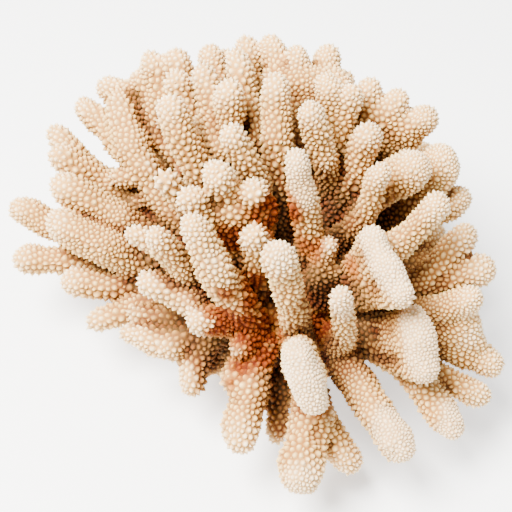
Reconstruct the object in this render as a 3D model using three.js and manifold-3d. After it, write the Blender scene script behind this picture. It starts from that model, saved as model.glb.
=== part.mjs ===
// A cleaned skeleton of a branching stony coral (Pocillopora, cauliflower or antler coral).
// Millimetres, +Z up. The origin is the middle of the flat cut under the colony, and the
// side with the long drooping fingers faces -Y.
//
// The living colony grew as one piece. It is split here at its main forks: the holdfast, and
// one solid for each limb or closely forked group of limbs. Every limb springs from the heart
// of the colony, so each one is described by the directions and distances seen from there.
import * as THREE from 'three';
import { mergeVertices } from 'three/addons/utils/BufferGeometryUtils.js';
import Module from 'manifold-3d';

const wasm = await Module();
wasm.setup();

// ---------------------------------------------------------------- driving dimensions

const HEART_HEIGHT = 32;      // the point all limbs radiate from, above the cut
const ROOT_REACH = 30;        // every limb starts this far from the heart, inside the holdfast
const JOINT_GAP = 0.3;        // clearance between neighbouring solids
const LIMB_SIDES = 6;         // facets around a round limb
const BLADE_SIDES = 8;        // facets around a flattened one
const RING_SPACING = 36;      // distance between the rings along a limb
const TIP_ARC = 48;           // degrees round the tip, where its one ring lies
const ON_AXIS = 0.01;         // closer to a middle line than this counts as on it
const SAME_POINT = 1e-4;      // corners closer together than this are one corner

// The holdfast: radius and height of its outline, from the cut upwards.
const HOLDFAST_PROFILE = [[34, 0], [40, 10], [45, 26], [45, 42], [38, 59], [22, 72]];
const HOLDFAST_CROWN = 4;     // rise of the rounded top inside the last ring
const HOLDFAST_SIDES = 15;
const HOLDFAST_WAVES = 5;     // soft lobes round the holdfast
const HOLDFAST_WAVE_DEPTH = 2.2;

// Each limb is a list of stations from root to tip: [heading, climb, reach, radius].
// heading: degrees round from +X towards +Y. climb: degrees above the horizontal.
// reach: distance from the heart. radius: half the limb's thickness there.
// A blade is a flattened limb: a fifth number gives half its breadth, along the blade's lie.
// The first limb of a node springs from the holdfast. The others are its tines, and their
// first station lies inside it, at the fork. Earlier nodes cut later ones.
const blade = (lie, stations) => Object.assign(stations, { lie });
const LIMBS = {
  // -- front: long fingers that lean out over the edge
  front_tall_finger: [[[-75, 24, 44, 7], [-82, 46, 75, 7], [-90, 61, 112, 8]]],
  front_drooping_finger: [
    [[-100, 30, 44, 8], [-100, 19, 62, 9], [-101, 7, 87, 10]],
    [[-106, 22, 56, 6], [-109, 17, 70, 5]],
    [[-104, 34, 52, 6], [-107, 30, 64, 6]],
  ],
  front_short_paddle: [
    blade([-0.3, 0.8, 0.5], [[-78, 29, 58, 7, 8], [-82, 31, 97, 9, 19]]),
  ],
  front_low_club: [
    [[-75, 4, 66, 8], [-80, 6, 86, 11], [-84, 3, 101, 12]],
    [[-76, 7, 68, 7], [-74, 2, 82, 8], [-70, -3, 96, 8]],
    [[-76, 12, 68, 6], [-75, 12, 83, 6]],
  ],
  front_right_club: [[[-52, 25, 42, 8], [-60, 18, 66, 9], [-61, 12, 90, 9], [-60, 7, 108, 9]]],
  front_right_paddle: [
    blade([-0.2, 0.7, 0.7], [[-45, 22, 50, 7, 8], [-43, 22, 76, 8, 14], [-44, 27, 98, 8, 19]]),
  ],
  front_small_finger: [[[-50, 43, 45, 7], [-57, 57, 62, 6], [-48, 64, 78, 5]],
    [[-50, 50, 50, 5], [-46, 55, 68, 5]]],
  front_upright_finger: [[[-59, 20, 60, 7], [-62, 37, 80, 6], [-66, 50, 100, 6]]],
  front_right_low_fork: [
    [[-38, 12, 66, 7], [-42, 8, 94, 9], [-45, 3, 112, 8]],
    [[-36, 12, 76, 7], [-36, 6, 98, 7], [-34, 4, 113, 7]],
  ],
  front_cleft_twig: [
    [[-107, 54, 46, 5], [-107, 61, 70, 5], [-107, 68, 92, 7]],
    [[-104, 58, 50, 4], [-101, 66, 72, 4], [-98, 69, 88, 4]],
  ],
  front_left_finger: [[[-110, 38, 44, 6], [-117, 37, 60, 7], [-125, 38, 75, 8]]],
  front_left_fan: [
    [[-129, 24, 46, 8], [-136, 17, 64, 9], [-152, 14, 80, 6]],
    [[-132, 18, 56, 8], [-126, 5, 68, 7]],
    [[-134, 26, 50, 6], [-157, 19, 76, 5]],
  ],
  front_under_lobes: [
    [[-88, -6, 50, 6], [-90, -8, 75, 5]],
    [[-97, -6, 40, 6], [-98, -7, 58, 5]],
  ],
  front_left_under_lobe: [[[-128, -2, 38, 6], [-132, -4, 50, 6]]],

  // -- crown: the fingers that stand round the top
  crown_centre_finger: [[[-53, 60, 45, 6], [-54, 73, 80, 7], [-60, 79, 100, 7], [-58, 82, 112, 6]]],
  crown_left_front_finger: [
    [[-102, 32, 44, 7], [-113, 48, 70, 9], [-123, 57, 95, 9], [-134, 62, 110, 7]]],
  crown_fan: [
    blade([1, 0.1, 0], [[-126, 60, 45, 7, 8], [-131, 70, 64, 7, 14], [-136, 73, 90, 8, 20]]),
    [[-142, 68, 84, 7], [-150, 66, 106, 7]],
    [[-138, 73, 88, 7], [-150, 74, 109, 8]],
    [[-124, 76, 86, 6], [-119, 78, 100, 7]],
  ],
  crown_left_twig: [[[-171, 60, 60, 6], [-174, 61, 82, 6], [-178, 60, 100, 6]]],
  crown_left_fork: [
    [[-145, 44, 56, 8], [-146, 50, 84, 8], [-149, 54, 104, 6]],
    [[-150, 48, 70, 6], [-155, 50, 90, 6], [-158, 49, 104, 5]],
  ],
  crown_tall_finger: [[[-164, 80, 55, 6], [-170, 84, 92, 7], [174, 80, 112, 7]]],
  crown_left_club: [[[161, 62, 60, 7], [161, 65, 98, 8], [155, 64, 119, 8]]],
  crown_left_knob: [[[134, 54, 88, 7], [131, 54, 120, 7]]],
  crown_back_left_fork: [
    [[136, 66, 60, 7], [139, 69, 95, 8], [128, 64, 121, 7]],
    [[136, 69, 66, 7], [136, 72, 98, 7], [128, 73, 118, 8]],
  ],
  crown_back_finger: [[[70, 84, 56, 6], [82, 83, 86, 8], [92, 80, 106, 8], [92, 76, 119, 7]]],
  crown_right_finger: [[[34, 58, 56, 6], [24, 71, 84, 7], [32, 78, 102, 7], [46, 80, 114, 7]]],
  crown_right_back_fork: [
    [[36, 62, 62, 7], [39, 68, 98, 7], [54, 71, 120, 7]],
    [[34, 63, 70, 6], [38, 68, 96, 6], [42, 68, 118, 6]],
  ],

  // -- left side
  left_front_finger: [[[-132, 38, 54, 7], [-136, 40, 76, 7], [-150, 39, 86, 7]]],
  left_long_finger: [[[172, 12, 70, 7], [170, 14, 101, 8], [167, 15, 132, 8]]],
  left_low_finger: [[[172, 6, 64, 7], [172, 8, 94, 7], [175, 8, 125, 8]]],
  left_club: [[[173, 16, 62, 8], [177, 23, 85, 11], [177, 25, 98, 11], [175, 24, 112, 9]]],
  left_upper_finger: [[[165, 22, 70, 8], [168, 29, 96, 9], [167, 28, 117, 9]]],
  left_back_fork: [
    [[156, 24, 70, 7], [155, 24, 105, 9], [158, 27, 126, 8]],
    [[155, 24, 104, 7], [152, 25, 134, 7]],
  ],
  left_front_stub: [[[-179, 8, 60, 7], [-178, 10, 82, 8], [-178, 10, 100, 8]]],
  left_low_knob: [[[-167, 14, 60, 6], [-168, 4, 88, 7]]],
  left_back_club: [
    [[156, 34, 52, 8], [153, 36, 76, 9], [150, 38, 102, 10], [140, 37, 122, 9]],
    [[150, 34, 76, 7], [147, 34, 112, 8], [143, 28, 133, 7]],
  ],

  // -- right side
  right_front_blade: [
    blade([-0.4, 0.7, 0.6], [[-43, 38, 45, 7, 8], [-42, 47, 75, 7, 14], [-44, 51, 103, 7, 20]]),
  ],
  right_leaning_finger: [[[-27, 48, 54, 7], [-26, 51, 88, 8], [-24, 50, 106, 8], [-17, 52, 116, 7]]],
  right_twin_club: [
    [[-28, 30, 54, 8], [-16, 28, 83, 9], [-7, 34, 104, 8]],
    [[-28, 28, 54, 8], [-16, 26, 83, 9], [-12, 26, 106, 9]],
  ],
  right_wide_club: [
    blade([-0.4, 0.3, 0.9], [[-31, 17, 62, 8, 9], [-28, 18, 86, 8, 17], [-26, 19, 102, 8, 21]]),
    [[-27, 24, 94, 8], [-25, 28, 107, 8]],
    [[-28, 12, 92, 8], [-27, 8, 112, 8]],
  ],
  right_slim_finger: [[[-13, 60, 60, 6], [-20, 62, 90, 6], [-15, 66, 111, 6]]],
  right_fat_finger: [[[9, 56, 56, 7], [9, 57, 88, 10], [1, 57, 108, 11]]],
  right_inner_finger: [[[17, 62, 56, 6], [18, 64, 82, 7], [21, 66, 106, 8]]],
  right_back_finger: [
    [[12, 38, 60, 7], [8, 41, 98, 10], [12, 46, 110, 11]],
    [[11, 36, 70, 7], [8, 35, 103, 9]],
  ],
  right_back_plate: [
    blade([-0.9, 0.3, 0.4], [[36, 50, 66, 7, 8], [36, 53, 92, 7, 17], [35, 56, 111, 8, 22]]),
    [[38, 57, 98, 7], [44, 60, 118, 7]],
    [[35, 54, 98, 7], [34, 56, 119, 7]],
    [[32, 51, 98, 7], [26, 51, 117, 9]],
  ],

  // -- back: the side that the tall crown hides from the front
  back_fan: [
    blade([-0.9, 0.3, 0.3], [[66, 68, 64, 7, 8], [72, 65, 96, 7, 17], [74, 64, 114, 8, 22]]),
    [[80, 65, 100, 7], [92, 60, 126, 7]],
    [[74, 64, 100, 7], [80, 64, 123, 7]],
    [[69, 62, 98, 7], [68, 59, 123, 8]],
    [[63, 62, 90, 6], [58, 58, 116, 6]],
  ],
  back_left_trident: [
    [[108, 68, 64, 8], [112, 70, 98, 8], [110, 65, 124, 7]],
    [[112, 67, 80, 7], [117, 57, 125, 7]],
    [[106, 66, 80, 7], [102, 58, 126, 7]],
  ],
  back_left_plate: [
    blade([0.8, -0.1, 0.5], [[131, 47, 60, 8, 9], [132, 45, 92, 8, 17], [131, 42, 124, 8, 24]]),
    [[134, 40, 104, 8], [138, 34, 132, 7]],
    [[132, 45, 104, 8], [130, 45, 131, 7]],
    [[129, 48, 104, 8], [124, 49, 127, 7]],
  ],
  back_upper_fork: [
    [[98, 48, 60, 9], [100, 45, 92, 9], [106, 42, 118, 9]],
    [[96, 47, 74, 8], [88, 44, 116, 9]],
  ],
  back_right_upper_fork: [
    [[64, 44, 60, 9], [68, 42, 90, 9], [70, 38, 112, 9]],
    [[61, 42, 70, 8], [52, 36, 108, 9]],
  ],
  back_right_finger: [[[34, 32, 56, 9], [33, 31, 80, 10], [36, 28, 100, 10]]],
  back_left_middle_fork: [
    [[126, 26, 56, 9], [128, 24, 88, 9], [131, 22, 118, 9]],
    [[124, 28, 66, 8], [115, 27, 114, 9]],
  ],
  back_middle_fork: [
    [[95, 26, 54, 9], [98, 24, 86, 10], [100, 24, 114, 10]],
    [[93, 28, 66, 8], [84, 28, 112, 9]],
  ],
  back_right_middle_fork: [
    [[64, 24, 54, 9], [66, 22, 84, 10], [67, 24, 110, 9]],
    [[60, 22, 64, 8], [51, 20, 108, 9]],
  ],
  back_right_low_finger: [[[36, 13, 54, 9], [38, 10, 102, 10]]],
  right_low_fork: [
    [[14, 14, 52, 9], [21, 9, 86, 9]],
    [[12, 13, 60, 8], [8, 6, 94, 9]],
  ],
  right_low_finger: [[[-14, 4, 52, 9], [-14, -2, 92, 9]]],
  back_left_low_fork: [
    [[140, 9, 54, 9], [143, 6, 86, 9], [146, 7, 116, 9]],
    [[138, 8, 64, 8], [129, 4, 110, 9]],
  ],
  back_low_fork: [
    [[105, 8, 52, 9], [109, 4, 84, 9], [110, 6, 110, 9]],
    [[103, 8, 62, 8], [93, 6, 107, 9]],
  ],
  back_right_low_fork: [
    [[69, 8, 52, 9], [73, 5, 84, 9], [74, 6, 108, 9]],
    [[67, 6, 62, 8], [57, 3, 105, 9]],
  ],
};

// ---------------------------------------------------------------- material

const SKELETON = new THREE.Color('#e3cdb2');

function skeletonMaterial() {
  return new THREE.MeshStandardMaterial({ color: SKELETON, roughness: 0.9, metalness: 0 });
}

// ---------------------------------------------------------------- geometry

// The point that lies at a heading, climb and reach from the heart.
function fromHeart([heading, climb, reach]) {
  const turn = THREE.MathUtils.degToRad(heading);
  const lift = THREE.MathUtils.degToRad(climb);
  return new THREE.Vector3(
    reach * Math.cos(lift) * Math.cos(turn),
    reach * Math.cos(lift) * Math.sin(turn),
    HEART_HEIGHT + reach * Math.sin(lift),
  );
}

// A station's half thickness, and its half breadth, which is the same unless it is given.
const thickness = ([, , , radius]) => radius;
const breadth = ([, , , radius, broad = radius]) => broad;

// A measure at a fraction of the limb's length, eased from one station to the next.
function measureAlong(stations, fraction, measure) {
  const place = fraction * (stations.length - 1);
  const index = Math.min(Math.floor(place), stations.length - 2);
  const blend = THREE.MathUtils.smoothstep(place - index, 0, 1);
  return THREE.MathUtils.lerp(measure(stations[index]), measure(stations[index + 1]), blend);
}

// The outline that is turned into a straight limb: distance from the axis, distance along it.
function limbOutline(stations, length, swell) {
  const rings = Math.max(stations.length - 1, Math.round(length / RING_SPACING));
  const outline = [new THREE.Vector2(0, -swell)];
  for (let ring = 0; ring <= rings; ring += 1) {
    const fraction = ring / rings;
    const along = ring === 0 ? -swell : fraction * length;
    outline.push(new THREE.Vector2(measureAlong(stations, fraction, thickness) + swell, along));
  }
  const tip = thickness(stations.at(-1)) + swell;
  const arc = THREE.MathUtils.degToRad(TIP_ARC);
  outline.push(new THREE.Vector2(tip * Math.cos(arc), length + tip * Math.sin(arc)));
  outline.push(new THREE.Vector2(0, length + tip));
  return outline;
}

// Any direction across the limb does for a round one: this is the level one.
function levelAcross(curve) {
  const lean = curve.getPoint(1).sub(curve.getPoint(0));
  return [-lean.y, lean.x, 0];
}

// Lays a straight limb, turned about Y, along its curve, and broadens it along its lie.
// Past the curve's end it goes on straight.
function bendAlong(geometry, stations, curve, length) {
  const position = geometry.getAttribute('position');
  const side = new THREE.Vector3(...(stations.lie ?? levelAcross(curve))).normalize();
  const vertex = new THREE.Vector3();
  for (let i = 0; i < position.count; i += 1) {
    vertex.fromBufferAttribute(position, i);
    const fraction = THREE.MathUtils.clamp(vertex.y / length, 0, 1);
    const centre = curve.getPointAt(fraction);
    const tangent = curve.getTangentAt(fraction);
    const across = side.clone().addScaledVector(tangent, -side.dot(tangent)).normalize();
    const third = new THREE.Vector3().crossVectors(across, tangent);
    centre.addScaledVector(tangent, vertex.y - fraction * length);
    const thick = measureAlong(stations, fraction, thickness);
    const extra = measureAlong(stations, fraction, breadth) - thick;
    const ease = (1 + Math.min(1, Math.hypot(vertex.x, vertex.z) / thick)) / 2;
    const aside = Math.abs(vertex.x) < ON_AXIS ? 0 : Math.sign(vertex.x) * extra * ease;
    centre.addScaledVector(across, vertex.x + aside).addScaledVector(third, vertex.z);
    position.setXYZ(i, centre.x, centre.y, centre.z);
  }
}

// A limb carried on straight towards the heart, so that it starts inside the holdfast.
function withRoot(limb) {
  const [heading, climb, , radius] = limb[0];
  return Object.assign([[heading, climb, ROOT_REACH, radius], ...limb], { lie: limb.lie });
}

// One limb with a rounded tip. swell makes it fatter all over.
function limbGeometry(stations, swell) {
  const curve = new THREE.CatmullRomCurve3(stations.map(fromHeart), false, 'centripetal');
  const length = curve.getLength();
  const sides = stations.lie ? BLADE_SIDES : LIMB_SIDES;
  const geometry = new THREE.LatheGeometry(limbOutline(stations, length, swell), sides);
  bendAlong(geometry, stations, curve, length);
  return geometry;
}

// The squat trunk that the limbs grow from, flat on its cut, with soft lobes round it.
// swell makes it wider and taller, but leaves the cut where it is.
function holdfastGeometry(swell) {
  const outline = HOLDFAST_PROFILE.map(([radius, height]) => new THREE.Vector2(radius, height));
  const top = outline.at(-1).y + HOLDFAST_CROWN + swell;
  outline.unshift(new THREE.Vector2(0, 0));
  outline.push(new THREE.Vector2(0, top));
  const geometry = new THREE.LatheGeometry(outline, HOLDFAST_SIDES);
  geometry.rotateX(Math.PI / 2);
  const position = geometry.getAttribute('position');
  for (let i = 0; i < position.count; i += 1) {
    const radius = Math.hypot(position.getX(i), position.getY(i));
    if (radius < ON_AXIS) continue;
    const turn = Math.atan2(position.getY(i), position.getX(i));
    const lobe = HOLDFAST_WAVE_DEPTH * Math.sin(HOLDFAST_WAVES * turn);
    const scale = (radius + lobe + swell) / radius;
    position.setX(i, position.getX(i) * scale);
    position.setY(i, position.getY(i) * scale);
  }
  return geometry;
}

// ---------------------------------------------------------------- solids

// A closed manifold from a geometry, with shared vertices merged and slivers of no area left out.
function toSolid(geometry) {
  const bare = geometry.clone();
  bare.deleteAttribute('normal');
  bare.deleteAttribute('uv');
  const merged = mergeVertices(bare, SAME_POINT);
  const corners = merged.getIndex().array;
  const triangles = [];
  for (let i = 0; i < corners.length; i += 3) {
    const [a, b, c] = [corners[i], corners[i + 1], corners[i + 2]];
    if (a !== b && b !== c && c !== a) triangles.push(a, b, c);
  }
  return new wasm.Manifold(new wasm.Mesh({
    numProp: 3,
    vertProperties: new Float32Array(merged.getAttribute('position').array),
    triVerts: new Uint32Array(triangles),
  }));
}

function joinLimbs([first, ...tines], swell) {
  return [withRoot(first), ...tines].map((limb) => toSolid(limbGeometry(limb, swell)))
    .reduce((joined, solid) => joined.add(solid));
}

// The biggest connected body: a cut can leave crumbs beside it.
function largestBody(solid) {
  return solid.decompose().reduce((best, body) => (body.volume() > best.volume() ? body : best));
}

function toMesh(name, solid) {
  const { vertProperties, triVerts } = solid.getMesh();
  const geometry = new THREE.BufferGeometry();
  geometry.setAttribute('position', new THREE.Float32BufferAttribute(vertProperties, 3));
  geometry.setIndex(new THREE.Uint32BufferAttribute(triVerts, 1));
  geometry.computeVertexNormals();
  const mesh = new THREE.Mesh(geometry, skeletonMaterial());
  mesh.name = name;
  return mesh;
}

// ---------------------------------------------------------------- the colony

const colony = new THREE.Group();
colony.name = 'branching_coral';
colony.add(toMesh('holdfast', toSolid(holdfastGeometry(0))));

let grown = toSolid(holdfastGeometry(JOINT_GAP));
for (const [name, limbs] of Object.entries(LIMBS)) {
  colony.add(toMesh(name, largestBody(joinLimbs(limbs, 0).subtract(grown))));
  grown = grown.add(joinLimbs(limbs, JOINT_GAP));
}

export default colony;
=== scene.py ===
"""A cleaned skeleton of a branching coral, its fingers covered in small round beads.

The CAD's limbs are fused into one soft skin, and a few side buds are added behind. Even cells
are spread over it like a honeycomb, about 3 mm apart on the fingers and finer on their growing
faces, and each cell becomes a bead. Each limb's share of the beads is one closed piece.
Lengths are millimetres until a mesh is made.
"""

import math

import bmesh
import bpy
import numpy as np
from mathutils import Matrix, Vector
from mathutils.bvhtree import BVHTree


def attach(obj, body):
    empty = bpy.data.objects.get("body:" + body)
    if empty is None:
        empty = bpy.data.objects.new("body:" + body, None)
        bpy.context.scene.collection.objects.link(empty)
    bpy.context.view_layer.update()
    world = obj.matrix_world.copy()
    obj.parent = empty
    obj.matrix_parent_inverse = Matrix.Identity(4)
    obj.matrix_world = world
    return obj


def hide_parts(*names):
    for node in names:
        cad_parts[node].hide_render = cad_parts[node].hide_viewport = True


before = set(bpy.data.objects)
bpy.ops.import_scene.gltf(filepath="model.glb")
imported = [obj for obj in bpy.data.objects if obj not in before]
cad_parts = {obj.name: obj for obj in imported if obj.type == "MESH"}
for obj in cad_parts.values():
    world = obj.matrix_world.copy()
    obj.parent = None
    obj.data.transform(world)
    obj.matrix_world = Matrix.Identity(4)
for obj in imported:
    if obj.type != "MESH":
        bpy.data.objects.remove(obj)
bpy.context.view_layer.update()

rng = np.random.default_rng(20)

MM = 1000.0                         # millimetres in a metre
HEART = np.array([0.0, 0.0, 32.0])  # the point the limbs radiate from

# The skin under the beads
VOXEL = 0.8
SEAM_FILL = 0.45       # near the heart the CAD solids swell, so that they meet over their gaps
FREE_INSET = 0.85      # and further out they shrink, so that dark clefts part them
FREE_FROM = (55, 78)   # distances from the heart between which the one turns into the other
SMOOTH_ROUNDS = 18
SETTLE = 0.25          # the skin lies this far out from the smoothed solids
LUMP = 0.55            # height of the soft lumps on the skin
LUMP_LENGTH = 15.0
HOLLOW_ROUNDS = 60     # smoothing that shows which parts of the skin are hollows
CLEFT = 1.5            # hollows are made this much deeper again,
CLEFT_LIMIT = 1.6      # counting at most this depth of each,
CLEFT_HEIGHTS = (2, 8) # and less near the cut
TIP_REACH = 16.0       # a spot with nothing further out within this distance is a tip
TIP_FADE = (1.5, 13)   # and this much lower, it is less and less of one
CUT_LEVEL = 0.9        # skin below this height belongs to the flat cut

# The beads
PITCH = 2.75
TIP_PITCH = 2.35
FACE_PITCH = 1.85
DEEP_PITCH = 2.9
CUT_PITCH = 5.0
SIZE_SPREAD = 0.13
BEAD_RISE = 0.50       # height of a bead over its pitch
RISE_SPREAD = (0.78, 1.18)
VALLEY = -0.16
SHOULDER_OUT = 0.58    # the ring of points half way down a bead
SHOULDER_UP = 0.66
SHOULDER_TONE = 0.55   # its place between the colours of a valley, 0, and of a top, 1
LEAN = 0.10            # beads lean towards the tip by this much of their pitch
EVENING_ROUNDS = 9
CRUMB = 30             # a patch of fewer beads, cut off from its limb, joins the next one

# Side buds
BUDDING = ("back_", "left_back", "right_back", "crown_back")
BUDS = 75
BUDS_BEHIND = 22.0     # they grow further back than this
BUD_SPACING = 13.0
BUD_RADIUS = (4.2, 6.2)
BUD_LENGTH = (3, 9)
BUD_STEP = 2.5         # between the balls that make a bud
BUD_TAPER = 0.03       # for each millimetre along it
BUD_REACH = (66, 104)  # distances from the heart that buds grow at
BUD_FLOOR = 12

# What shuts out a bead's sky
SKY_RAYS = 30
SKY_LIFT = 2.5
SKY_REACH = 60.0
SKY_FACING = 0.2       # rays flatter to the bead than this aren't counted

# Growing faces, pale and finely beaded: both ends of each one's middle line, how far it
# reaches from that, and how much it stands out
GROWING_FACES = [
    ((40, -38, 124), (52, -57, 112), 10, 1.0), ((60, -56, 90), (64, -72, 75), 10, 1.0),
    ((4, -80, 93), (12, -91, 77), 14, 1.0), ((50, -89, 56), (56, -99, 50), 11, 0.9),
    ((81, -76, 45), (79, -85, 41), 8, 0.9), ((8, -16, 147), (12, -22, 129), 8, 0.6),
    ((1, -54, 137), (1, -59, 134), 7, 0.5), ((27, -61, 114), (29, -63, 100), 6, 0.5),
    ((10, -110, 43), (12, -111, 39), 8, 0.5), ((-26, -55, 116), (-27, -52, 120), 7, 0.4),
]

# Rust stains: where, how far they reach, and how strong they are
STAINS = [
    ((-23, -52, 99), 8, 0.5), ((-22, -49, 77), 13, 1.0), ((-17, -50, 76), 11, 1.0),
    ((-5, -42, 66), 13, 1.0), ((-15, -58, 57), 9, 0.6), ((-22, -67, 55), 4, 0.4),
    ((-7, -50, 61), 13, 1.0), ((-20, -24, 105), 13, 0.9), ((-1, -21, 118), 14, 0.9),
    ((14, -25, 100), 10, 0.5), ((34, -34, 98), 9, 0.35), ((19, -80, 53), 6, 0.4),
    ((20, -37, 56), 11, 0.8), ((-13, -40, 88), 12, 1.0), ((46, -10, 90), 12, 0.6),
]


# ---------------------------------------------------------------- arrays

def read(collection, field, width, kind):
    values = np.empty(len(collection) * width, kind)
    collection.foreach_get(field, values)
    return values.reshape(-1, width)


def mesh_arrays(mesh):
    """Points in the mesh's own unit, and triangles."""
    mesh.calc_loop_triangles()
    return (read(mesh.vertices, "co", 3, np.float32).astype(float),
            read(mesh.loop_triangles, "vertices", 3, np.int32).astype(np.int64))


def sums(index, values, count):
    """The rows of values added up for each index."""
    return np.stack([np.bincount(index, column, count) for column in values.T], 1)


def unit(vectors):
    return vectors / np.maximum(np.linalg.norm(vectors, axis=1, keepdims=True), 1e-12)


def corner_normals(points, triangles):
    """Each vertex's normal, as long as a third of the area of its faces."""
    a, b, c = points[triangles.T]
    faces = np.cross(b - a, c - a) / 6
    return sums(triangles.T.ravel(), np.tile(faces, (3, 1)), len(points))


def normals_and_areas(points, triangles):
    normals = corner_normals(points, triangles)
    return unit(normals), np.linalg.norm(normals, axis=1)


def edges_of(triangles):
    """The undirected edges, and for each triangle the numbers of its three (01, 12, 20)."""
    ends = np.concatenate([triangles[:, [0, 1]], triangles[:, [1, 2]], triangles[:, [2, 0]]])
    ends = np.sort(ends, 1)
    key = ends[:, 0] * (triangles.max() + 1) + ends[:, 1]
    _, first, number = np.unique(key, return_index=True, return_inverse=True)
    return ends[first], number.reshape(3, -1).T


def components(count, a, b):
    """The lowest number in each connected group, for each of count things linked a to b."""
    root = np.arange(count)
    while True:
        low = np.minimum(root[a], root[b])
        merged = root.copy()
        np.minimum.at(merged, root[a], low)
        np.minimum.at(merged, root[b], low)
        merged = merged[merged]
        if (merged == root).all():
            return root
        root = merged


def neighbour_table(count, edges):
    """Each vertex's neighbours in a row, filled up with the vertex itself."""
    start = np.concatenate([edges[:, 0], edges[:, 1]])
    end = np.concatenate([edges[:, 1], edges[:, 0]])
    order = np.argsort(start, kind="stable")
    start, end = start[order], end[order]
    first = np.searchsorted(start, np.arange(count))
    place = np.arange(len(start)) - first[start]
    table = np.repeat(np.arange(count)[:, None], place.max() + 1, 1)
    table[start, place] = end
    return table


def smoothstep(value, low, high):
    share = np.clip((value - low) / (high - low), 0, 1)
    return share * share * (3 - 2 * share)


def segment_distance(points, start, end):
    start, end = np.array(start, float), np.array(end, float)
    line = end - start
    share = np.clip((points - start) @ line / (line @ line), 0, 1)
    return np.linalg.norm(points - start - share[:, None] * line, axis=1)


def waves(points, length, count, seed):
    """A smooth random field, about -1 to 1, whose lumps are about that length across."""
    own = np.random.default_rng(seed)
    total = np.zeros(len(points))
    for _ in range(count):
        direction = unit(own.normal(size=(1, 3)))[0] * own.uniform(0.7, 1.4)
        total += np.sin(points @ direction * math.tau / length + own.uniform(0, math.tau))
    return total / math.sqrt(count)


# ---------------------------------------------------------------- the CAD solids

def welded(points, triangles):
    """The same surface with corners at one place made one."""
    _, first, number = np.unique(
        np.round(points * 500).astype(np.int64), axis=0, return_index=True, return_inverse=True)
    triangles = number.ravel()[triangles]
    real = ((triangles[:, 0] != triangles[:, 1]) & (triangles[:, 1] != triangles[:, 2])
            & (triangles[:, 2] != triangles[:, 0]))
    return points[first], triangles[real]


names = sorted(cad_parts)
solids = []
for name in names:
    points, triangles = mesh_arrays(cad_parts[name].data)
    solids.append(welded(points * MM, triangles))


def stacked(parts):
    """Several (points, triangles) as one, and which part each triangle is from."""
    offset = np.cumsum([0] + [len(points) for points, _ in parts])
    return (np.concatenate([points for points, _ in parts]),
            np.concatenate([tris + base for (_, tris), base in zip(parts, offset)]),
            np.repeat(np.arange(len(parts)), [len(tris) for _, tris in parts]))


# ---------------------------------------------------------------- side buds

def ball(centre, radius):
    """A small round solid."""
    shape = bmesh.new()
    bmesh.ops.create_icosphere(shape, subdivisions=2, radius=radius)
    points = np.array([vertex.co[:] for vertex in shape.verts]) + centre
    tris = np.array([[vertex.index for vertex in face.verts] for face in shape.faces])
    shape.free()
    return points, tris


def side_buds():
    """Knobs that start to branch from the limbs behind, as they do on those in front."""
    points, triangles, part = stacked(solids)
    a, b, c = points[triangles.T]
    place, out = (a + b + c) / 3, unit(np.cross(b - a, c - a))
    away = unit(place - HEART)
    far = np.linalg.norm(place - HEART, axis=1)
    behind = np.array([name.startswith(BUDDING) for name in names])[part]
    fit = np.flatnonzero(behind & (far > BUD_REACH[0]) & (far < BUD_REACH[1])
                         & ((out * away).sum(1) < 0.5)  # on a limb's side, not its end
                         & (place[:, 1] > BUDS_BEHIND) & (place[:, 2] > BUD_FLOOR))
    buds, taken = [], []
    for pick in rng.permutation(fit):
        if len(taken) == BUDS:
            break
        if any(np.linalg.norm(place[pick] - other) < BUD_SPACING for other in taken):
            continue
        taken.append(place[pick])
        radius = rng.uniform(*BUD_RADIUS)
        grows = unit((out[pick] + 0.8 * away[pick])[None])[0]
        buds += [ball(place[pick] + step * grows, radius * (1 - BUD_TAPER * step))
                 for step in np.arange(0, rng.uniform(*BUD_LENGTH), BUD_STEP)]
    return buds


# ---------------------------------------------------------------- the skin

def fused_skin():
    """The solids and the buds as one closed surface, from small even triangles."""
    points, triangles, _ = stacked(solids + side_buds())
    free = smoothstep(np.linalg.norm(points - HEART, axis=1), *FREE_FROM)
    out = SEAM_FILL - (SEAM_FILL + FREE_INSET) * free
    points = points + out[:, None] * unit(corner_normals(points, triangles))
    mesh = bpy.data.meshes.new("swollen")
    mesh.from_pydata(points, [], triangles.tolist())
    obj = bpy.data.objects.new("swollen", mesh)
    bpy.context.scene.collection.objects.link(obj)
    voxels = obj.modifiers.new("voxels", "REMESH")
    voxels.mode, voxels.voxel_size = "VOXEL", VOXEL
    made = obj.evaluated_get(bpy.context.evaluated_depsgraph_get())
    points, triangles = mesh_arrays(made.to_mesh())
    made.to_mesh_clear()
    bpy.data.objects.remove(obj)
    bpy.data.meshes.remove(mesh)
    # Hollows shut in between the limbs are left out.
    edges, _ = edges_of(triangles)
    group = components(len(points), *edges.T)
    kept = group == np.bincount(group).argmax()
    number = np.cumsum(kept) - 1
    triangles = number[triangles[kept[triangles[:, 0]]]]
    return points[kept], triangles


def smoothed(points, edges, rounds):
    start, end = np.concatenate([edges, edges[:, ::-1]]).T
    degree = np.bincount(start, minlength=len(points))[:, None]
    for _ in range(rounds):
        points = (points + sums(start, points[end], len(points)) / degree) / 2
    return points


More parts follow.
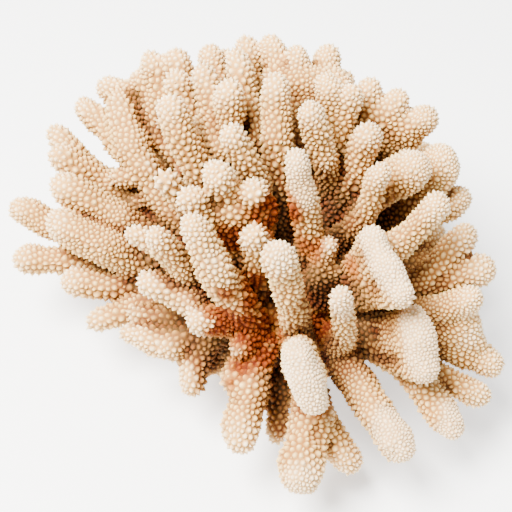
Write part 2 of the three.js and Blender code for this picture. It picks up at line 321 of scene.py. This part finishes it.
skin, skin_tris = fused_skin()
edges, tri_edges = edges_of(skin_tris)
on_cut = skin[:, 2] < CUT_LEVEL
skin = smoothed(skin, edges, SMOOTH_ROUNDS)
lumps = waves(skin, LUMP_LENGTH, 16, 3)
skin += unit(corner_normals(skin, skin_tris)) * (SETTLE + LUMP * lumps)[:, None]
skin[:, 2] = np.where(on_cut, 0.0, np.maximum(skin[:, 2], 0.0))
normals, areas = normals_and_areas(skin, skin_tris)
nearby = neighbour_table(len(skin), edges)
hollow = np.einsum("ij,ij->i", smoothed(skin, edges, HOLLOW_ROUNDS) - skin, normals)
cleft = np.clip(hollow, 0, CLEFT_LIMIT) * ~on_cut * smoothstep(skin[:, 2], *CLEFT_HEIGHTS)
skin -= CLEFT * smoothed(cleft[:, None] * normals, edges, 2)
normals, areas = normals_and_areas(skin, skin_tris)
on_cut &= normals[:, 2] < -0.7

reach = np.linalg.norm(skin - HEART, axis=1)
highest = reach.copy()
for _ in range(int(TIP_REACH / VOXEL)):
    highest = highest[nearby].max(1)
tipness = 1 - smoothstep(highest - reach, *TIP_FADE)
face = np.zeros(len(skin))
for begin_at, end_at, size, strength in GROWING_FACES:
    away = segment_distance(skin, begin_at, end_at) + 1.2 * lumps
    face = np.maximum(face, strength * (1 - smoothstep(away, 0.7 * size, 1.2 * size)))

pitch = PITCH * (1 + 0.11 * waves(skin, 45, 10, 5))
pitch *= 1.12 - 0.20 * smoothstep(skin[:, 0], -30, 60)  # coarser on the left
pitch += (TIP_PITCH - PITCH) * tipness
pitch += (DEEP_PITCH - PITCH) * (1 - smoothstep(reach, 45, 60))
pitch += (FACE_PITCH - pitch) * smoothstep(face, 0.3, 0.7)
pitch = np.where(on_cut, CUT_PITCH, pitch)


# ---------------------------------------------------------------- where the beads sit

def along_curve(points):
    """An order that keeps near points together, as a Z-shaped space-filling curve does."""
    cell = ((points - points.min(0)) / 2.0).astype(np.int64)
    code = np.zeros(len(points), np.int64)
    for bit in range(8):
        for axis in range(3):
            code |= ((cell[:, axis] >> bit) & 1) << (3 * bit + axis)
    return np.argsort(code, kind="stable")


def first_seeds():
    order = along_curve(skin)
    filled = np.cumsum((areas / (0.866 * pitch ** 2))[order])
    count = int(filled[-1])
    marks = (np.arange(count) + rng.uniform(0, 1, count)) / count * filled[-1]
    return np.unique(order[np.searchsorted(filled, marks)])


def spread(labels, seeds, size, rounds):
    """Gives each vertex the nearest seed among its own and its neighbours', round by round."""
    def distance(label):
        away = skin - seeds[label]
        return np.where(label < 0, np.inf, np.einsum("ij,ij->i", away, away) / size[label])

    best = distance(labels)
    for _ in range(rounds):
        for column in nearby.T:
            offered = labels[column]
            far = distance(offered)
            nearer = far < best
            labels = np.where(nearer, offered, labels)
            best = np.where(nearer, far, best)
    return labels


def gathered(labels, count):
    """Each cell kept to what hangs together with its middle vertex; the rest joins others."""
    group = np.arange(len(labels))
    same = labels[edges[:, 0]] == labels[edges[:, 1]]
    group = components(len(labels), *edges[same].T)
    size = np.bincount(group, areas, len(labels))
    order = np.lexsort((size[group], labels))
    last = np.searchsorted(labels[order], np.arange(count), side="right") - 1
    home = group[order[last]]
    labels = np.where(home[labels] == group, labels, -1)
    while (labels < 0).any():
        for column in nearby.T:
            labels = np.where(labels < 0, labels[column], labels)
    return labels


def renumbered(labels):
    used, labels = np.unique(labels, return_inverse=True)
    return labels, len(used)


def bead_cells():
    """Which bead's cell each vertex of the skin is in."""
    picked = first_seeds()
    seeds = skin[picked]
    size = (pitch[picked] * np.exp(rng.normal(0, SIZE_SPREAD, len(picked)))) ** 2
    labels = np.full(len(skin), -1)
    labels[picked] = np.arange(len(picked))
    labels = spread(labels, seeds, size, 12)
    for _ in range(EVENING_ROUNDS):
        weight = np.bincount(labels, areas, len(picked))[:, None]
        seeds = sums(labels, skin * areas[:, None], len(picked)) / np.maximum(weight, 1e-9)
        labels = spread(labels, seeds, size, 3)
    return gathered(*renumbered(labels))


# ---------------------------------------------------------------- how the cells meet

def borders(cells):
    """The corners where three cells meet, and the borders between two cells.

    A corner is a skin triangle with three cells, anticlockwise. A border is a chain of skin
    edges between the same two cells, and runs from one corner to another. Each border is
    listed for both of its cells, from the corner it starts at to the one it ends at, going
    anticlockwise round the cell.
    """
    split = cells[edges[:, 0]] != cells[edges[:, 1]]
    crossed = split[tri_edges]
    two = crossed.sum(1) == 2
    linked = tri_edges[two][crossed[two]].reshape(-1, 2)
    chain = components(len(edges), *linked.T)
    corners = np.flatnonzero(crossed.all(1))
    around = cells[skin_tris[corners]]
    chains = chain[tri_edges[corners]]
    # At a corner, the border between its cells i and i+1 ends the one of cell i, and
    # starts the one of cell i+1.
    number = np.repeat(np.arange(len(corners)), 3)
    cell = around.ravel()
    other = np.roll(around, -1, 1).ravel()
    key = chains.ravel()
    ends = np.lexsort((other, cell, key))
    starts = np.lexsort((cell, other, key))
    same = (key[ends] == key[starts]) & (cell[ends] == other[starts])
    ends, starts = ends[same], starts[same]
    slot = np.tile(np.arange(3), len(corners))
    return (corners, around, cell[ends], number[starts], (slot[starts] + 1) % 3,
            number[ends], slot[ends], other[ends])


def without_slivers(cells):
    """Joins what would make a bead of no volume to a cell beside it.

    That is a cell with fewer than three corners, and a pair of cells with one cell all round.
    """
    while True:
        cells, count = renumbered(cells)
        _, around, cell_of, start, _, end, _, across = borders(cells)
        corners = np.bincount(around.ravel(), minlength=count)
        sliver = (corners > 0) & (corners < 3)
        thin = sliver[cell_of] & ~sliver[across]
        there = (cell_of * len(around) + start) * len(around) + end
        back = (cell_of * len(around) + end) * len(around) + start
        ring = np.isin(there, back) & ~sliver[cell_of] & ~sliver[across]
        if not (thin | ring).any():
            return cells, count
        into = np.arange(count)
        into[cell_of[thin]] = across[thin]
        if not thin.any():
            into[across[ring]] = cell_of[ring]
        cells = into[cells]


cells, bead_count = without_slivers(bead_cells())
(corner_tris, around, cell_of, start, start_slot, end, end_slot, across) = borders(cells)

weight = np.bincount(cells, areas, bead_count)[:, None]
middle = sums(cells, skin * areas[:, None], bead_count) / weight
upright = unit(sums(cells, normals * areas[:, None], bead_count))


def of_cells(values):
    return np.bincount(cells, values * areas, bead_count) / weight[:, 0]


bead_tip_and_bulge_highlight, bead_face, bead_reach = of_cells(tipness), of_cells(face), of_cells(reach)
bead_hollow = of_cells(hollow)
bead_cut = of_cells(on_cut.astype(float)) > 0.5
bead_pitch = np.sqrt(weight[:, 0] / 0.866)

valley = 0.8 * middle[around].mean(1) + 0.2 * skin[skin_tris[corner_tris]].mean(1)
valley_cut = bead_cut[around].any(1)
valley_up = unit(upright[around].sum(1))
valley += valley_up * (VALLEY * bead_pitch[around].mean(1) * ~valley_cut)[:, None]
valley[valley_cut, 2] = 0

outward = unit(middle - HEART)
outward -= upright * np.einsum("ij,ij->i", outward, upright)[:, None]
rise = BEAD_RISE * bead_pitch * rng.uniform(*RISE_SPREAD, bead_count)
rise *= np.where(bead_cut, 0, 1 - 0.2 * bead_face)
lean = outward * (LEAN * bead_pitch * ~bead_cut)[:, None]
top = middle + upright * rise[:, None] + lean
top[bead_cut, 2] = 0

spoke = valley[:, None] - middle[around]
span = np.linalg.norm(spoke, axis=2)
mean_span = (np.bincount(around.ravel(), span.ravel(), bead_count)
             / np.maximum(np.bincount(around.ravel(), minlength=bead_count), 1))
even = 0.25 + 0.75 * mean_span[around] / np.maximum(span, 1e-6)
shoulder = (middle[around] + spoke * (SHOULDER_OUT * even)[..., None]
            + (upright * (SHOULDER_UP * rise)[:, None] + 0.6 * lean)[around])
shoulder[bead_cut[around], 2] = 0
shoulder = shoulder.reshape(-1, 3)
for ring in (top, valley, shoulder):  # none is below the surface the coral stands on
    ring[:, 2] = np.maximum(ring[:, 2], 0)

# One numbering for all points: bead tops, then valleys, then shoulders.
points = np.concatenate([top, valley, shoulder])
valley_at, shoulder_at = bead_count, bead_count + len(valley)
begin, finish = valley_at + start, valley_at + end
left, right = shoulder_at + 3 * start + start_slot, shoulder_at + 3 * end + end_slot
triangles = np.concatenate([
    np.stack([cell_of, left, right], 1),
    np.stack([left, begin, finish], 1),
    np.stack([left, finish, right], 1),
])
triangle_bead = np.tile(cell_of, 3)

heights = np.concatenate([
    np.ones(bead_count), np.zeros(len(valley)), np.full(len(shoulder), SHOULDER_TONE)])


# ---------------------------------------------------------------- which limb a bead is on

solid_points, solid_tris, solid_part = stacked(solids)
tree = BVHTree.FromPolygons(solid_points.tolist(), solid_tris.tolist())


def bead_owners():
    """The number of the limb that each bead goes with."""
    owner = np.array([solid_part[tree.find_nearest(place)[2]] for place in middle])
    for _ in range(3):  # a bead goes with most of the beads around it
        votes = np.zeros((bead_count, len(names)), np.int16)
        np.add.at(votes, (cell_of, owner[across]), 1)
        votes[np.arange(bead_count), owner] += 2
        owner = votes.argmax(1)
    # A limb is one patch of beads, and crumbs of it go to what they touch.
    for _ in range(4):
        same = owner[cell_of] == owner[across]
        group = components(bead_count, cell_of[same], across[same])
        size = np.bincount(group, minlength=bead_count)
        biggest = np.zeros(len(names), int)
        np.maximum.at(biggest, owner, size[group])
        crumb = (size[group] < CRUMB) & (size[group] < biggest[owner])
        if not crumb.any():
            break
        edge = crumb[cell_of] & ~crumb[across]
        owner[cell_of[edge]] = owner[across[edge]]
    return owner


owner = bead_owners()


# ---------------------------------------------------------------- colour fields

bead_rust = np.zeros(bead_count)
for place, size, strength in STAINS:
    away = np.linalg.norm(middle - np.array(place), axis=1)
    bead_rust = np.maximum(bead_rust, strength * (1 - smoothstep(away, 0.25 * size, 1.25 * size)))


def sky_shut_out():
    """How much of what is above each bead is shut out by other limbs, from 0 to 1."""
    turn = math.pi * (3 - math.sqrt(5)) * np.arange(SKY_RAYS)
    height = 1 - (2 * np.arange(SKY_RAYS) + 1) / SKY_RAYS
    ring = np.sqrt(1 - height ** 2)
    rays = np.stack([ring * np.cos(turn), ring * np.sin(turn), height], 1)
    facing = np.maximum(upright @ rays.T, 0)
    rays = [Vector(ray) for ray in rays]
    shut = np.zeros(bead_count)
    for bead, place in enumerate((middle + SKY_LIFT * upright).tolist()):
        weights = facing[bead]
        for ray in np.flatnonzero(weights > SKY_FACING):
            if tree.ray_cast(place, rays[ray], SKY_REACH)[0]:
                shut[bead] += weights[ray]
    shut /= np.where(facing > SKY_FACING, facing, 0).sum(1)
    near = np.bincount(cell_of, minlength=bead_count)
    for _ in range(3):
        shut = (shut + np.bincount(cell_of, shut[across], bead_count) / near) / 2
    return shut


# Painted shade with some real staining: browner and darker where other limbs shut out the sky,
# near the heart, and in hollows
heart_near = 1 - smoothstep(bead_reach + 4 * waves(middle, 30, 8, 11), 50, 104)
bead_shade_and_stain = 0.62 * sky_shut_out() + 0.5 * heart_near
bead_shade_and_stain += 0.55 * smoothstep(bead_hollow, -0.5, 0.8) - 0.13
bead_shade_and_stain = smoothstep(bead_shade_and_stain, 0.12, 1.0)
# Painted highlight: bulges are made as pale as tips, up to a half
bead_tip_and_bulge_highlight = np.maximum(bead_tip_and_bulge_highlight, 0.5 * smoothstep(-bead_hollow, 0.75, 1.3))
tone = rng.uniform(0, 1, bead_count)
point_bead = np.concatenate([np.arange(bead_count), around[:, 0], around.ravel()])
valley_rows = slice(valley_at, shoulder_at)


def at_points(values):
    """A bead's value at all its points, and the mean of three beads in a valley."""
    spread_out = values[point_bead].astype(float)
    spread_out[valley_rows] = values[around].mean(1)
    return spread_out


fields = {
    "bead": heights,
    "tip": at_points(bead_tip_and_bulge_highlight),
    "face": at_points(bead_face),
    "shade_and_stain": at_points(bead_shade_and_stain),
    "rust": at_points(bead_rust),
    "tone": at_points(tone),
    "cut": at_points(bead_cut.astype(float)),
}


# ---------------------------------------------------------------- material

class Nodes:
    """A small hand for wiring shader nodes."""

    def __init__(self, name):
        self.material = bpy.data.materials.new(name)
        self.material.use_nodes = True
        self.tree = self.material.node_tree
        self.shader = self.tree.nodes["Principled BSDF"]

    def add(self, kind, inputs=(), **settings):
        node = self.tree.nodes.new(kind)
        for key, value in settings.items():
            setattr(node, key, value)
        for key, value in dict(inputs).items():
            self.put(node.inputs[key], value)
        return node

    def put(self, socket, value):
        if isinstance(value, bpy.types.NodeSocket):
            self.tree.links.new(value, socket)
        else:
            socket.default_value = value

    def field(self, name):
        return self.add("ShaderNodeAttribute", attribute_name=name).outputs["Fac"]

    def math(self, operation, *values):
        node = self.add("ShaderNodeMath", operation=operation)
        for socket, value in zip(node.inputs, values):
            self.put(socket, value)
        return node.outputs[0]

    def within(self, value, low, high, out_low=0.0, out_high=1.0):
        node = self.add("ShaderNodeMapRange", {
            "Value": value, "From Min": low, "From Max": high,
            "To Min": out_low, "To Max": out_high}, interpolation_type="SMOOTHSTEP")
        return node.outputs["Result"]

    def mix(self, share, first, second, blend="MIX"):
        node = self.add("ShaderNodeMix", data_type="RGBA", blend_type=blend)
        for place, value in ((0, share), (6, first), (7, second)):
            self.put(node.inputs[place], value)
        return node.outputs[2]

    def noise(self, where, scale, detail=3.0):
        node = self.add("ShaderNodeTexNoise", {
            "Vector": where, "Scale": scale, "Detail": detail, "Roughness": 0.55})
        return node.outputs["Fac"]


def colour(red, green, blue):
    return (red, green, blue, 1.0)


def coral_material():
    """Pale bead tops over golden valleys, browner and darker inwards as painted shade with some
    staining, with rust and a porous cut.
    """
    n = Nodes("coral_skeleton")
    where = n.add("ShaderNodeTexCoord").outputs["Object"]
    bead, tip, shade_and_stain = n.field("bead"), n.field("tip"), n.field("shade_and_stain")
    rust, tone, cut = n.field("rust"), n.field("tone"), n.field("cut")
    face = n.field("face")
    patchy = n.noise(where, 55.0, 4.0)
    grain = n.noise(where, 1400.0)

    # Paler towards the growing tips, and on bulges as painted highlight
    crown = n.mix(tip, colour(0.86, 0.60, 0.240), colour(0.97, 0.83, 0.58))
    # Painted shade, partly real staining: in sheltered parts the bead tops turn brown, then
    # nearly black
    crown = n.mix(n.within(shade_and_stain, 0.0, 0.55), crown, colour(0.47, 0.24, 0.064))
    crown = n.mix(n.within(shade_and_stain, 0.45, 1.0), crown, colour(0.15, 0.037, 0.008))
    valley = n.mix(tip, colour(0.31, 0.132, 0.030), colour(0.60, 0.33, 0.100))
    # Painted shade, partly real staining: the valleys there turn dark brown, then nearly black
    valley = n.mix(n.within(shade_and_stain, 0.0, 0.50), valley, colour(0.13, 0.038, 0.009))
    valley = n.mix(n.within(shade_and_stain, 0.40, 0.9), valley, colour(0.018, 0.004, 0.0013))
    pale = n.mix(bead, colour(0.62, 0.39, 0.18), colour(0.97, 0.82, 0.59))
    skeleton = n.mix(n.within(bead, 0.1, 1.0), valley, crown)

    skeleton = n.mix(n.math("MULTIPLY", face, 0.75), skeleton, pale)
    worn = n.math("MULTIPLY", n.within(patchy, 0.38, 0.68), 0.18)
    skeleton = n.mix(worn, skeleton, colour(0.52, 0.285, 0.075))
    ochre = n.mix(bead, colour(0.16, 0.036, 0.005), colour(0.50, 0.200, 0.036))
    rusty = n.mix(bead, colour(0.070, 0.006, 0.0008), colour(0.23, 0.045, 0.0020))
    stain = n.math("MULTIPLY", rust, n.within(n.noise(where, 160.0), 0.22, 0.55))
    skeleton = n.mix(n.within(stain, 0.02, 0.40), skeleton, ochre)
    skeleton = n.mix(n.within(stain, 0.22, 0.62), skeleton, rusty)

    bright = n.math("ADD", n.within(tone, 0.0, 1.0, 0.86, 1.04),
                    n.within(grain, 0.3, 0.7, -0.05, 0.05))
    skeleton = n.mix(1.0, skeleton, bright, "MULTIPLY")

    pores = n.add("ShaderNodeTexVoronoi", {"Vector": where, "Scale": 620.0}).outputs["Distance"]
    cut_colour = n.mix(n.within(pores, 0.1, 0.5),
                       colour(0.45, 0.27, 0.15), colour(0.80, 0.66, 0.50))
    n.put(n.shader.inputs["Base Color"], n.mix(cut, skeleton, cut_colour))
    n.put(n.shader.inputs["Roughness"], n.within(grain, 0.3, 0.7, 0.62, 0.86))
    n.put(n.shader.inputs["Specular IOR Level"], 0.12)
    n.put(n.shader.inputs["Subsurface Weight"], 0.15)
    n.put(n.shader.inputs["Subsurface Radius"], (1.0, 0.6, 0.35))
    n.put(n.shader.inputs["Subsurface Scale"], 0.001)
    relief = n.math("ADD", grain, n.math("MULTIPLY", n.math("MULTIPLY", pores, cut), 4.0))
    bump = n.add("ShaderNodeBump", {"Strength": 0.35, "Distance": 0.0002, "Height": relief})
    n.put(n.shader.inputs["Normal"], bump.outputs["Normal"])
    return n.material


coral = coral_material()


# ---------------------------------------------------------------- pieces

def loops_of(starts, ends):
    """Closed loops of points from the edges of a patch."""
    follow = dict(zip(starts.tolist(), ends.tolist()))
    loops = []
    while follow:
        first, point = follow.popitem()
        loop = [first]
        while point != first:
            loop.append(point)
            point = follow.pop(point)
        loops.append(loop)
    return loops


def lids(starts, ends, base):
    """A fan inside each loop of the patch's edge, and the new points in their middles."""
    middles, fans = [], []
    for loop in loops_of(starts, ends):
        hub = base + len(middles)
        middles.append(points[loop].mean(0))
        fans += [(after, before, hub) for before, after in zip(loop, loop[1:] + loop[:1])]
    return np.array(middles).reshape(-1, 3), np.array(fans, int).reshape(-1, 3)


def bead_map(tris, beads, rows):
    """Each bead's own square of the map, seen from above the bead. Lids share the last one."""
    across_map = math.ceil(math.sqrt(len(rows) + 1))
    square = np.full(bead_count + 1, len(rows))
    square[rows] = np.arange(len(rows))
    east = unit(np.cross(upright, [0.31, 0.17, 0.93]))
    north = np.cross(upright, east)
    away = points[tris] - middle[beads][:, None]
    flat = np.stack([np.einsum("ijk,ik->ij", away, east[beads]),
                     np.einsum("ijk,ik->ij", away, north[beads])], 2)
    widest = np.full(bead_count, 1e-6)
    np.maximum.at(widest, beads, np.abs(flat).max((1, 2)))
    local = 0.5 + 0.46 * flat / widest[beads][:, None, None]
    cell = square[beads]
    corner = np.stack([cell % across_map, cell // across_map], 1)
    return (corner[:, None] + local) / across_map, across_map


def make_piece(part):
    """One limb's beads, closed with lids where it meets other limbs."""
    inside = owner[triangle_bead] == part
    tris, beads = triangles[inside], triangle_bead[inside]
    rows = np.unique(beads)
    heading = np.arctan2(middle[rows, 1], middle[rows, 0])
    rows = rows[np.lexsort((heading, (bead_reach[rows] / 4).astype(int)))]
    uv, across_map = bead_map(tris, beads, rows)
    edge = (owner[cell_of] == part) & (owner[across] != part)
    middles, fans = lids(begin[edge], finish[edge], len(points))
    lid_uv = np.tile([[0.94, 0.94], [0.98, 0.94], [0.96, 0.98]], (len(fans), 1, 1))
    corner = np.array([len(rows) % across_map, len(rows) // across_map])
    lid_uv = (corner + lid_uv) / across_map

    tris = np.concatenate([tris, fans])
    used, tris = np.unique(tris, return_inverse=True)
    tris = tris.reshape(-1, 3)
    own = np.concatenate([points, middles])[used] / MM
    mesh = bpy.data.meshes.new(names[part] + "_beaded")
    mesh.vertices.add(len(own))
    mesh.vertices.foreach_set("co", own.ravel())
    mesh.loops.add(tris.size)
    mesh.loops.foreach_set("vertex_index", tris.ravel())
    mesh.polygons.add(len(tris))
    mesh.polygons.foreach_set("loop_start", np.arange(0, tris.size, 3))
    mesh.update(calc_edges=True)
    mesh.shade_smooth()
    for name, values in fields.items():
        layer = mesh.attributes.new(name, "FLOAT", "POINT")
        whole = np.concatenate([values, np.zeros(len(middles))])[used]
        layer.data.foreach_set("value", whole.astype(np.float32))
    layer = mesh.uv_layers.new(name="OFBake")
    layer.data.foreach_set("uv", np.concatenate([uv, lid_uv]).astype(np.float32).ravel())
    mesh.materials.append(coral)
    piece = bpy.data.objects.new(names[part] + "_beaded", mesh)
    bpy.context.scene.collection.objects.link(piece)
    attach(piece, "root")
    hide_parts(names[part])


for part in range(len(names)):
    make_piece(part)


# ---------------------------------------------------------------- stage, light and camera

def floor():
    mesh = bpy.data.meshes.new("floor")
    mesh.from_pydata([(-4, -4, 0), (4, -4, 0), (4, 4, 0), (-4, 4, 0)], [], [(0, 1, 2, 3)])
    pale = bpy.data.materials.new("pale_floor")
    pale.use_nodes = True
    shader = pale.node_tree.nodes["Principled BSDF"]
    shader.inputs["Base Color"].default_value = colour(0.88, 0.91, 0.94)
    shader.inputs["Roughness"].default_value = 0.9
    shader.inputs["Emission Color"].default_value = colour(1, 1, 1)
    shader.inputs["Emission Strength"].default_value = 1.0
    mesh.materials.append(pale)
    plane = bpy.data.objects.new("floor", mesh)
    bpy.context.scene.collection.objects.link(plane)


def lamp(name, place, size, power, tint=(1, 1, 1)):
    """A square light that faces the middle of the coral."""
    light = bpy.data.lights.new(name, "AREA")
    light.size, light.energy, light.color = size, power, tint
    obj = bpy.data.objects.new(name, light)
    obj.location = place
    away = np.array(place) - np.array([0, 0, 0.06])
    turn = math.atan2(away[1], away[0])
    tilt = math.atan2(math.hypot(away[0], away[1]), away[2])
    obj.rotation_euler = (0, tilt, turn)
    bpy.context.scene.collection.objects.link(obj)


def camera():
    data = bpy.data.cameras.new("camera")
    data.lens, data.sensor_width, data.clip_start = 87.19, 36.0, 0.01
    obj = bpy.data.objects.new("camera", data)
    obj.location = (-0.0095, -0.3824, 0.5204)
    obj.rotation_euler = (math.radians(40), 0, 0)
    bpy.context.scene.collection.objects.link(obj)
    bpy.context.scene.camera = obj


floor()
lamp("key", (-0.45, -0.22, 1.1), 0.6, 105, (1.0, 0.95, 0.88))
lamp("fill", (0.9, 0.3, 0.9), 1.2, 12)
camera()
world = bpy.data.worlds.new("studio")
world.use_nodes = True
sky = world.node_tree.nodes["Background"].inputs
sky["Color"].default_value = colour(0.90, 0.95, 1.0)
sky["Strength"].default_value = 0.45
bpy.context.scene.world = world
